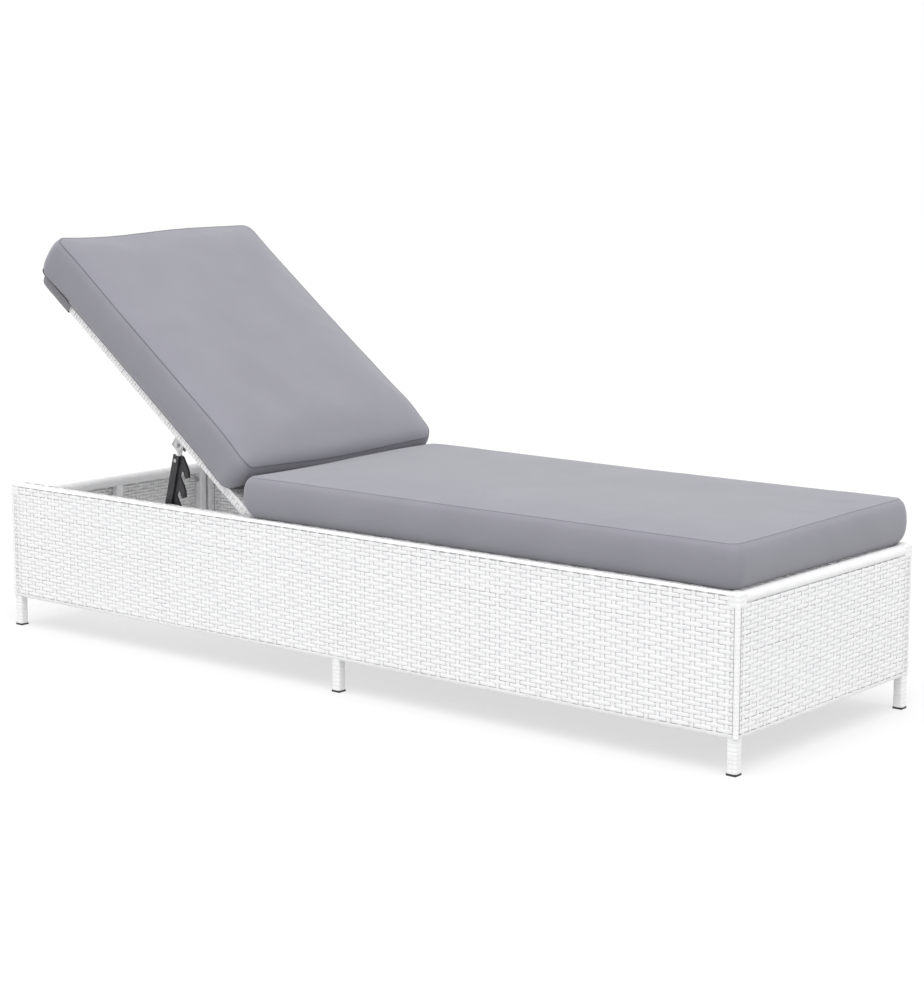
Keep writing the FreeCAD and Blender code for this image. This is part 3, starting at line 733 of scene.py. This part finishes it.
class Cushion:
    """A boxed foam cushion: two faces and a band between them, with a seam along each rim."""

    def __init__(self, size, cell, radius):
        self.size = np.array(size)
        grid = [spaced(size[0], cell, FINE_PLAN), spaced(size[1], cell, FINE_PLAN)]
        grid.append(spaced(size[2], cell, FINE_DEEP))
        self.index = {}
        points = []
        faces = []
        last = [len(line) - 1 for line in grid]
        for axis in range(3):
            first, second = [k for k in range(3) if k != axis]
            for level in (0, last[axis]):
                for i in range(last[first]):
                    for j in range(last[second]):
                        ring = []
                        for a, b in ((i, j), (i + 1, j), (i + 1, j + 1), (i, j + 1)):
                            key = [0, 0, 0]
                            key[axis], key[first], key[second] = level, a, b
                            key = tuple(key)
                            if key not in self.index:
                                self.index[key] = len(points)
                                points.append([grid[k][key[k]] for k in range(3)])
                            ring.append(self.index[key])
                        outward = (level > 0) == (axis != 1)
                        faces.append(ring if outward else ring[::-1])
        self.points = np.array(points)
        round_corners(self.points, self.size[:2] / 2, radius)
        self.faces = faces
        self.last = last

    def rim(self, level):
        """The points round one rim, in order."""
        x, y = self.last[:2]
        loop = [(i, 0) for i in range(x)] + [(x, j) for j in range(y)]
        loop += [(i, y) for i in range(x, 0, -1)] + [(0, j) for j in range(y, 0, -1)]
        return [self.index[(i, j, level)] for i, j in loop]

    def fill_out(self, side, tuck, pull):
        """Rounds the band outward, tucks in its lower edge and pulls the long sides in at mid-length."""
        band, rim_tuck = 30 * MM, 3 * MM
        x, y, z = self.points.T
        half = self.size / 2
        top = eased(z, -half[2], half[2])
        long, wide = 1 - (x / half[0]) ** 4, 1 - (y / half[1]) ** 6
        swell = side * (1 - np.abs(z / half[2]) ** 2.6) - tuck * (1 - eased(z, -half[2], -half[2] * 0.6))
        swell -= rim_tuck * eased(z, half[2] * 0.8, half[2])
        x += np.sign(x) * eased(np.abs(x), half[0] - band, half[0]) * swell
        y += np.sign(y) * eased(np.abs(y), half[1] - band, half[1]) * swell
        y -= np.sign(y) * eased(np.abs(y), 0, half[1]) * long * pull
        return top, long, wide

    def inflate(self):
        """Swells the cushion by cloth simulation, with each point's move limited."""
        piece = new_piece("swelling", self.points.tolist(), self.faces)
        cloth = piece.modifiers.new("Cloth", "CLOTH")
        cloth.settings.quality = 6
        cloth.settings.mass = 0.3
        cloth.settings.tension_stiffness = 40
        cloth.settings.compression_stiffness = 30
        cloth.settings.shear_stiffness = 15
        cloth.settings.bending_stiffness = 2.0
        cloth.settings.use_pressure = True
        cloth.settings.uniform_pressure_force = SWELL_PRESSURE
        cloth.settings.effector_weights.gravity = 0
        cloth.point_cache.frame_start = 1
        cloth.point_cache.frame_end = SWELL_FRAMES
        scene = bpy.context.scene
        for number in range(SWELL_FRAMES):
            scene.frame_set(number + 1)
        swollen = piece.evaluated_get(bpy.context.evaluated_depsgraph_get()).data
        moved = np.empty(len(self.points) * 3)
        swollen.vertices.foreach_get("co", moved)
        moved = moved.reshape(-1, 3) - self.points
        length = np.linalg.norm(moved, axis=1, keepdims=True)
        moved *= np.tanh(length / SWELL_CAP) * SWELL_CAP / np.maximum(length, TINY)
        self.points += moved
        mesh = piece.data
        bpy.data.objects.remove(piece)
        bpy.data.meshes.remove(mesh)
        scene.frame_set(1)

    def settle(self):
        """Flattens the underside where it rests, and leaves a trace of its bulge."""
        level = 0.6 * MM - self.size[2] / 2
        soft = 2 * MM
        low = level - self.points[:, 2]
        below = low > 0
        self.points[below, 2] = level - soft * np.tanh(low[below] / soft) * 0.1

    def cover(self, name, axes, middle):
        """The finished cover in the scene, at its place, with its subdivision applied."""
        piece = new_piece(name, (self.points @ axes + middle).tolist(), self.faces)
        subdivide(piece, 1)
        apply_modifiers(piece)
        return piece

    def seams(self, name, body, cover, axes, middle):
        """A narrow sewn ridge along both rims, lying on the finished cover."""
        ridge = np.array([(-0.9, -0.8), (-0.6, 0.2), (0, 0.4), (0.6, 0.2), (0.9, -0.8)]) * MM
        tree = BVHTree.FromObject(cover, bpy.context.evaluated_depsgraph_get())
        strips = Strips()
        for level in (0, self.last[2]):
            spots = self.points[self.rim(level)] @ axes + middle
            nearest = [tree.find_nearest(Vector(spot)) for spot in spots]
            path = np.array([found[0] for found in nearest])
            out = np.array([found[1] for found in nearest])
            out = (out + np.roll(out, 1, 0) + np.roll(out, -1, 0)) / 3
            out /= np.linalg.norm(out, axis=1, keepdims=True)
            ahead = np.roll(path, -1, 0) - np.roll(path, 1, 0)
            ahead /= np.linalg.norm(ahead, axis=1, keepdims=True)
            strips.add(path, np.cross(ahead, out), out, ridge, looped=True)
        return strips.make(name, SEAM, body, "cushion_cover")


def make_seat_cushion():
    low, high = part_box("seat_cushion")
    size = np.array(high - low)
    middle = np.array((low + high) / 2)
    cushion = Cushion(size, cell=12.5 * MM, radius=22 * MM)
    x, y, z = cushion.points.T
    half = size / 2
    top, long, wide = cushion.fill_out(side=10 * MM, tuck=3 * MM, pull=2.5 * MM)

    # The crown; then the far side, which stands higher and further out; then the head end.
    crown, far_rise, far_reach, far_edge = 7 * MM, 6 * MM, 5 * MM, 60 * MM
    z += top * long * wide * crown
    z += top * eased(y, -half[1], half[1]) * far_rise
    y += eased(y, half[1] - far_edge, half[1]) * far_reach
    head_rise, ripple = 2 * MM, 1.2 * MM
    z += top * eased(-x, half[0] - 0.6, half[0] - 0.1) * head_rise
    z += top * ripple * np.sin(x * 9 + 1) * np.sin(y * 11)

    # The head end leans out above its foot.
    lean, lean_height, lean_length = 9 * MM, 30 * MM, 60 * MM
    share = eased(z, -half[2], -half[2] + lean_height) * eased(-x, half[0] - lean_length, half[0])
    x -= share * lean
    cushion.inflate()
    cushion.settle()
    axes = np.eye(3)
    cover = cushion.cover("seat_cushion_cover", axes, middle)
    dress(cover, COVER, "seat_cushion", "cushion_cover", "seat_cushion")
    cushion.seams("seat_cushion_seams", "seat_cushion", cover, axes, middle)


def back_place(u, y, v):
    """A world point from its place up the back, across it and out of its face."""
    return HINGE + UP_BACK * u + Vector((0, y, 0)) + OUT_BACK * v


def in_back(name):
    """A node's places up the back, across it and out of its face, one list each."""
    spots = [v.co - HINGE for v in NODES[name].data.vertices]
    return [s.dot(UP_BACK) for s in spots], [s.y for s in spots], [s.dot(OUT_BACK) for s in spots]


def make_back_cushion():
    lines = in_back("back_cushion")
    size = np.array([max(line) - min(line) for line in lines])
    middle = np.array(back_place(*[(max(line) + min(line)) / 2 for line in lines]))
    cushion = Cushion(size, cell=12 * MM, radius=28 * MM)
    x, y, z = cushion.points.T
    half = size / 2
    top, _, wide = cushion.fill_out(side=6 * MM, tuck=7 * MM, pull=3 * MM)
    far_share = eased(y, -half[1], half[1])

    # The crown, and the far side, which stands higher.
    crown, far_rise, near_drop = 12 * MM, 15 * MM, 2 * MM
    z += top * (1 - (x / half[0]) ** 8) * wide * crown
    z += top * (far_share * far_rise - near_drop)

    # The lower end sags on to the seat cushion, and its front edge is rounded off.
    sag_reach, sag_wave, near_sink, far_sink = 19 * MM, 2 * MM, 4 * MM, 9 * MM
    sag = top * eased(-x, half[0] - 0.1, half[0])
    x -= sag * (sag_reach + sag_wave * np.cos(y * 9))
    z -= sag * (near_sink + far_sink * far_share)
    edge_start, edge_length, edge_drop = 10 * MM, 30 * MM, 24 * MM
    edge = np.clip((-x - half[0] + edge_start) / edge_length, 0, 0.96)
    z -= top ** 2 * edge_drop * (1 - np.sqrt(1 - edge ** 2))

    # The head end is a little uneven, and the whole face ripples.
    head_wave, ripple = 3 * MM, 1.5 * MM
    z += top * eased(x, half[0] - 0.25, half[0]) * head_wave * (np.sin(y * 13 + 0.6) + 1)
    z += top * ripple * np.sin(x * 8 + 2) * np.cos(y * 7)
    cushion.inflate()
    cushion.settle()
    axes = np.array([UP_BACK, (0, 1, 0), OUT_BACK])
    cover = cushion.cover("back_cushion_cover", axes, middle)
    dress(cover, BACK_COVER, "back_cushion", "cushion_cover", "back_cushion")
    seam = cushion.seams("back_cushion_seams", "back_cushion", cover, axes, middle)
    for piece in (cover, seam):
        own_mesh(piece)


def make_hood():
    """The pocket under the head end of the back cushion, which the end of the panel goes into."""
    along, across, outward = in_back("cushion_hood")
    mouth, tip = min(along), max(along)
    floor, rim = min(outward), max(outward)
    half = max(across)

    # The section: each side as millimetres beyond the half width and above the rim, then the floor.
    side = [(16, 7), (13, 3.5), (9, 1), (3, -0.8), (0.3, -4), (0, -12), (-0.3, -20), (-1.8, -25.5), (-6, -27)]
    side = [(half + out * MM, down * MM) for out, down in side]
    cells, depth, floor_share = 24, 27 * MM, 0.94
    under = [(-half * (1 - 2 * k / cells) * floor_share, -depth) for k in range(1, cells)]
    profile = [(-a, b) for a, b in side] + under + side[::-1]

    # The end closes over its last stretch, and the sides draw in a little before it does.
    turn, past, closed = 20 * MM, 1 * MM, 1.4 * MM
    narrow_start, narrow_length, narrow_depth = 28 * MM, 29.5 * MM, 30 * MM
    ripple, ripple_below = 0.5 * MM, -20 * MM
    closing = np.sin(np.linspace(0, 1, 9)[1:] * math.pi / 2)
    rows = np.concatenate([np.linspace(mouth, tip - turn, 12), tip - turn + (turn + past) * closing])
    points = []
    for row, u in enumerate(rows):
        share = max(0.0, (u - tip + turn) / (turn + closed))
        height = math.sqrt(1 - share * share)
        bend = max(0.0, (u - tip + narrow_start) / narrow_length)
        narrow = narrow_depth * (1 - math.sqrt(1 - bend * bend))
        for number, (a, b) in enumerate(profile):
            out = rim + (b * height if b < 0 else b)
            if b < ripple_below:
                out += ripple * math.sin(row * 1.3) * math.sin(number * 0.9)
            if abs(a) > half * 0.9:
                a = math.copysign(max(abs(a) - narrow, 0.0), a)
            points.append(back_place(u, a, max(out, floor - 0.8 * MM)))
    grid = np.arange(len(points)).reshape(len(rows), len(profile))
    faces = np.stack([grid[:-1, :-1], grid[1:, :-1], grid[1:, 1:], grid[:-1, 1:]], -1)
    piece = new_piece("cushion_hood_cover", points, faces.reshape(-1, 4).tolist())
    sheet = piece.modifiers.new("thickness", "SOLIDIFY")
    sheet.thickness = 1.0 * MM
    sheet.offset = 0
    subdivide(piece, 2)
    apply_modifiers(piece)
    dress(piece, HOOD, "back_cushion", "hood_cover", "cushion_hood")


def stage():
    """A floor that looks pale by its own glow, a soft sky and one broad light from above."""
    reach = 12
    corners = [(-reach, -reach, 0), (reach, -reach, 0), (reach, reach, 0), (-reach, reach, 0)]
    floor = new_piece("floor", corners, [(0, 1, 2, 3)])
    paper = new_material("floor", (0.27, 0.27, 0.27), 0.95, Specular_IOR_Level=0.0)
    glow = principled(paper).inputs
    glow["Emission Color"].default_value = (1, 1, 1, 1)
    glow["Emission Strength"].default_value = 0.6
    floor.data.materials.append(paper)
    world = bpy.data.worlds.new("studio")
    bpy.context.scene.world = world
    world.use_nodes = True
    world.node_tree.nodes["Background"].inputs["Color"].default_value = (1, 1, 1, 1)
    world.node_tree.nodes["Background"].inputs["Strength"].default_value = 1.0
    sun = bpy.data.lights.new("top_light", "SUN")
    sun.energy = 2.3
    sun.angle = math.radians(60)
    lamp = bpy.data.objects.new("top_light", sun)
    lamp.rotation_euler = (math.radians(18), math.radians(12), 0)
    bpy.context.scene.collection.objects.link(lamp)
    bpy.context.scene.view_settings.view_transform = "Standard"


def camera():
    """Stands where the whole lounger is seen from its near side and foot end."""
    lens = bpy.data.cameras.new("camera")
    lens.sensor_width = 36
    lens.sensor_fit = "AUTO"
    lens.lens = 81.16
    lens.shift_y = -0.0372
    eye = bpy.data.objects.new("camera", lens)
    azimuth, elevation = math.radians(39.391), math.radians(8.459)
    eye.location = (3.0329, -3.575, 1.1279)
    eye.rotation_euler = (math.pi / 2 - elevation, 0, azimuth)
    bpy.context.scene.collection.objects.link(eye)
    bpy.context.scene.camera = eye


camera()
paint_nodes()
make_seat_cushion()
make_back_cushion()
make_hood()
stage()
weave_sides()
weave_ends()
weave_deck()
weave_back()
wound_posts()
corner_caps()
wound_rails()
